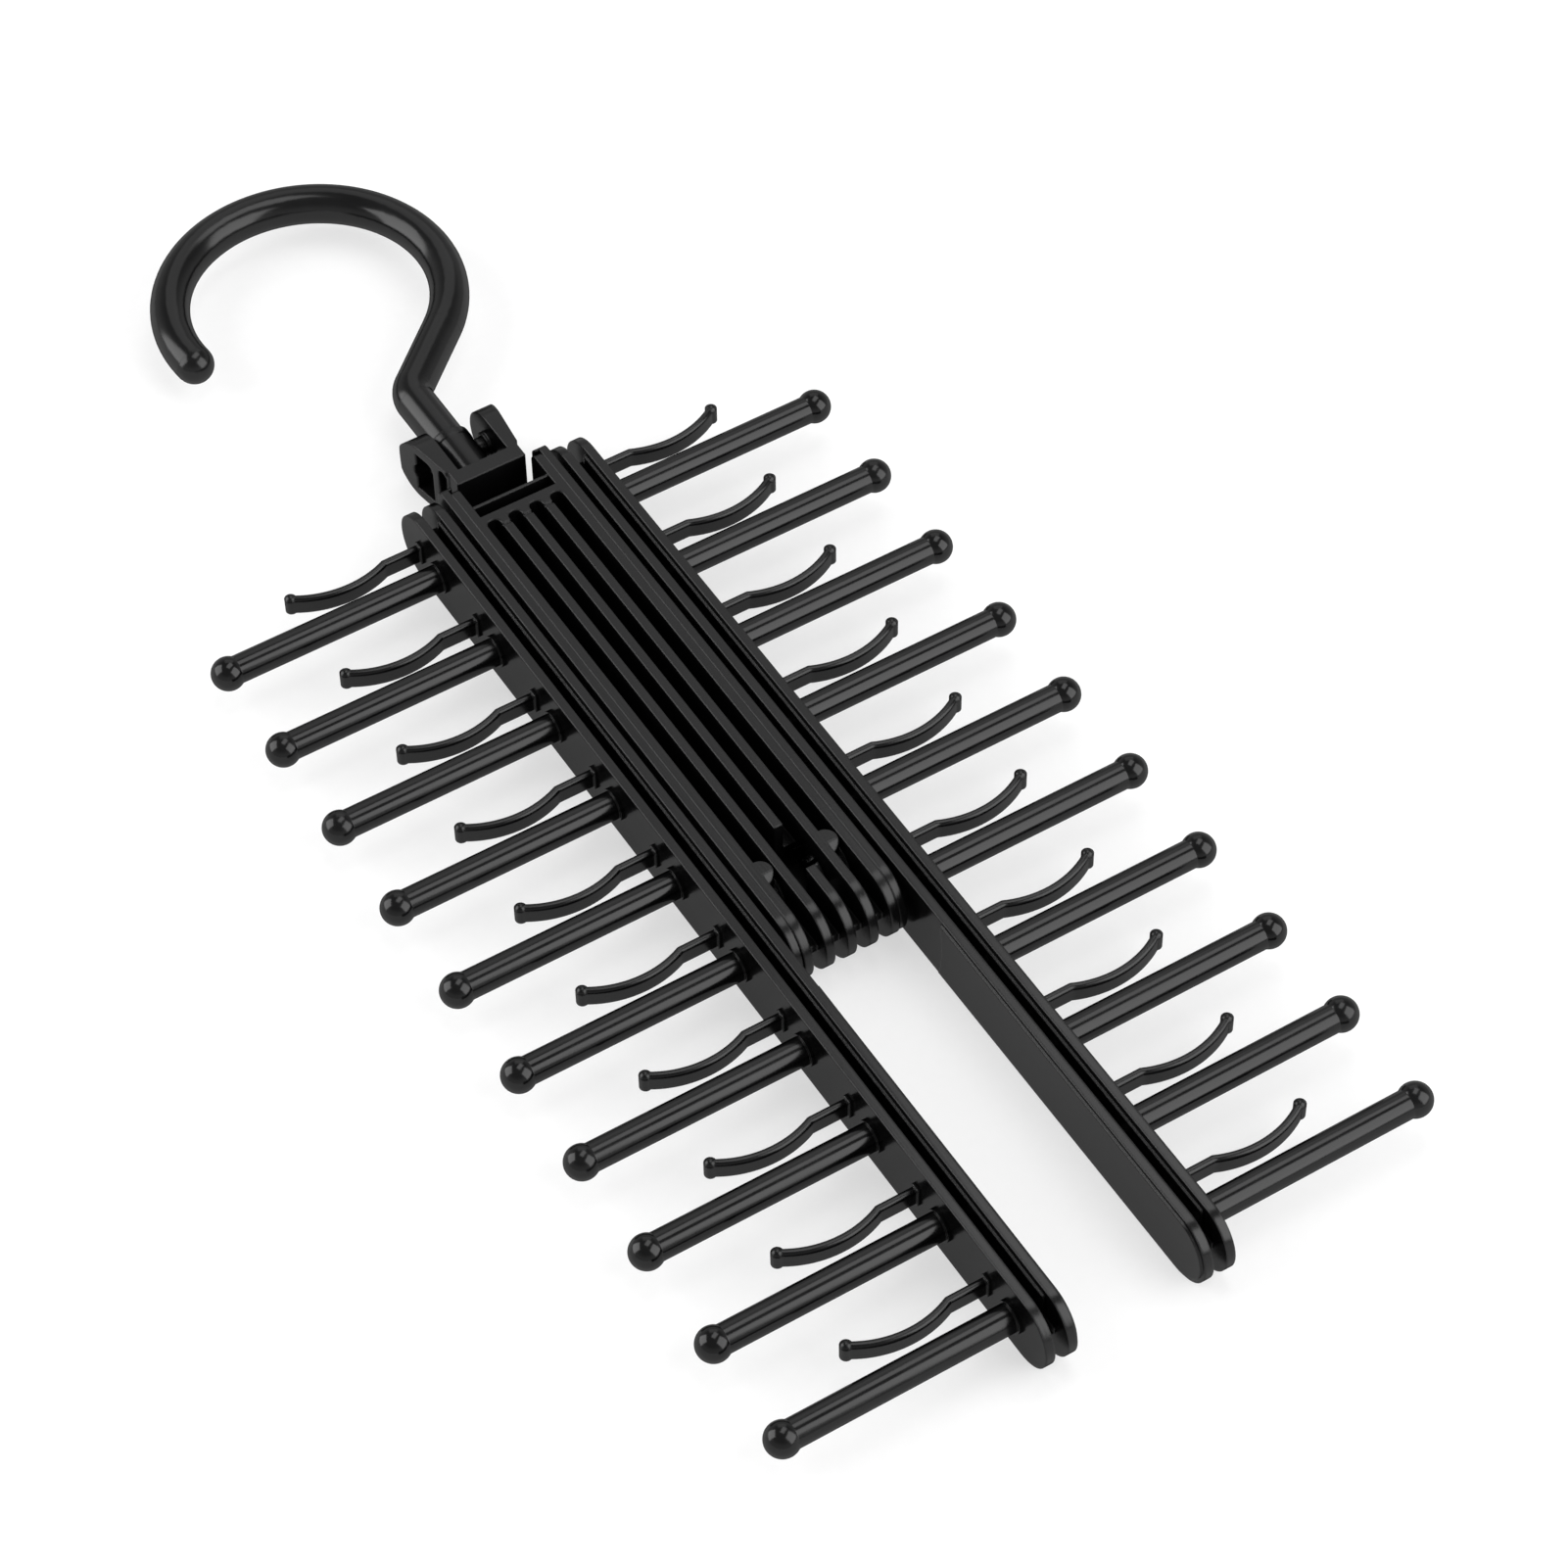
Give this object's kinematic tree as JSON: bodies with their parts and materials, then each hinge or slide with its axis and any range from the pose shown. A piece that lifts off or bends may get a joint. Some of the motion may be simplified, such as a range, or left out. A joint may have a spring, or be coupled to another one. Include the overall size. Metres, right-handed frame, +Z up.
{
  "type": "folding tie hanger",
  "caption": "Flat plastic tie hanger: two rails of ball-tipped prongs with spring clips, hinged on a ribbed stem under a hook that swivels and folds.",
  "frame": {"origin": "under the centre of the whole hanger, on the surface it lies on", "axes": "+X along the right-hand prongs, +Y along the stem towards the hook, +Z up from the surface"},
  "size_m": [0.1426, 0.3342, 0.016],
  "materials": {
    "body_plastic": "black, injection moulded, semi gloss",
    "hook_plastic": "black, injection moulded, gloss"
  },
  "bodies": {
    "stem": {"stem": "body_plastic", "left_side_plate": "body_plastic", "right_side_plate": "body_plastic", "hook_yoke": "body_plastic"},
    "left_rail": {"left_rail": "body_plastic", "left_prong_1": "body_plastic", "left_prong_2": "body_plastic", "left_prong_3": "body_plastic", "left_prong_4": "body_plastic", "left_prong_5": "body_plastic", "left_prong_6": "body_plastic", "left_prong_7": "body_plastic", "left_prong_8": "body_plastic", "left_prong_9": "body_plastic", "left_prong_10": "body_plastic", "left_clip_1": "body_plastic", "left_clip_2": "body_plastic", "left_clip_3": "body_plastic", "left_clip_4": "body_plastic", "left_clip_5": "body_plastic", "left_clip_6": "body_plastic", "left_clip_7": "body_plastic", "left_clip_8": "body_plastic", "left_clip_9": "body_plastic", "left_clip_10": "body_plastic"},
    "right_rail": {"right_rail": "body_plastic", "right_prong_1": "body_plastic", "right_prong_2": "body_plastic", "right_prong_3": "body_plastic", "right_prong_4": "body_plastic", "right_prong_5": "body_plastic", "right_prong_6": "body_plastic", "right_prong_7": "body_plastic", "right_prong_8": "body_plastic", "right_prong_9": "body_plastic", "right_prong_10": "body_plastic", "right_clip_1": "body_plastic", "right_clip_2": "body_plastic", "right_clip_3": "body_plastic", "right_clip_4": "body_plastic", "right_clip_5": "body_plastic", "right_clip_6": "body_plastic", "right_clip_7": "body_plastic", "right_clip_8": "body_plastic", "right_clip_9": "body_plastic", "right_clip_10": "body_plastic"},
    "swivel_block": {"swivel_block": "body_plastic"},
    "hook": {"hook": "hook_plastic"}
  },
  "joints": [
    {"name": "left_rail_swing", "type": "hinge", "parent": "stem", "child": "left_rail", "pos_m": [-0.0136, -0.0526, 0.008], "axis": [1, 0, 0], "range_deg": [-60, 60]},
    {"name": "right_rail_swing", "type": "hinge", "parent": "stem", "child": "right_rail", "pos_m": [0.0136, -0.0526, 0.008], "axis": [1, 0, 0], "range_deg": [-60, 60]},
    {"name": "hook_tilt", "type": "hinge", "parent": "stem", "child": "swivel_block", "pos_m": [0, 0.0776, 0.008], "axis": [1, 0, 0], "range_deg": [-90, 90]},
    {"name": "hook_swivel", "type": "hinge", "parent": "swivel_block", "child": "hook", "pos_m": [-0.00085, 0.0819, 0.008], "axis": [0, 1, 0], "continuous": true}
  ]
}
